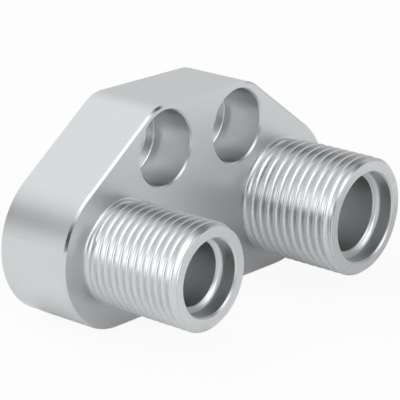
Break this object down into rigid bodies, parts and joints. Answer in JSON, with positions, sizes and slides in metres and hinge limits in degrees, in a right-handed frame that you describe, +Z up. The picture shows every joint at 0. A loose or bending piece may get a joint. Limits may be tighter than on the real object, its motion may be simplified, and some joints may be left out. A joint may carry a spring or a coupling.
{
  "type": "hose port adapter block",
  "caption": "Machined aluminium adapter block with a flat clamping face, recessed screw holes and male threaded hose spigots, each with a seat in its mouth.",
  "frame": {"origin": "on the flat back face, midway between the two port axes", "axes": "+Y out of the flat back face, +X from the smaller port to the larger one, +Z up to the flat top; the spigots point to -Y"},
  "size_m": [0.0732, 0.0354, 0.0378],
  "materials": {
    "machined_aluminium": "fine machined, satin"
  },
  "bodies": {
    "root": {"adapter_block": "machined_aluminium"}
  },
  "joints": []
}
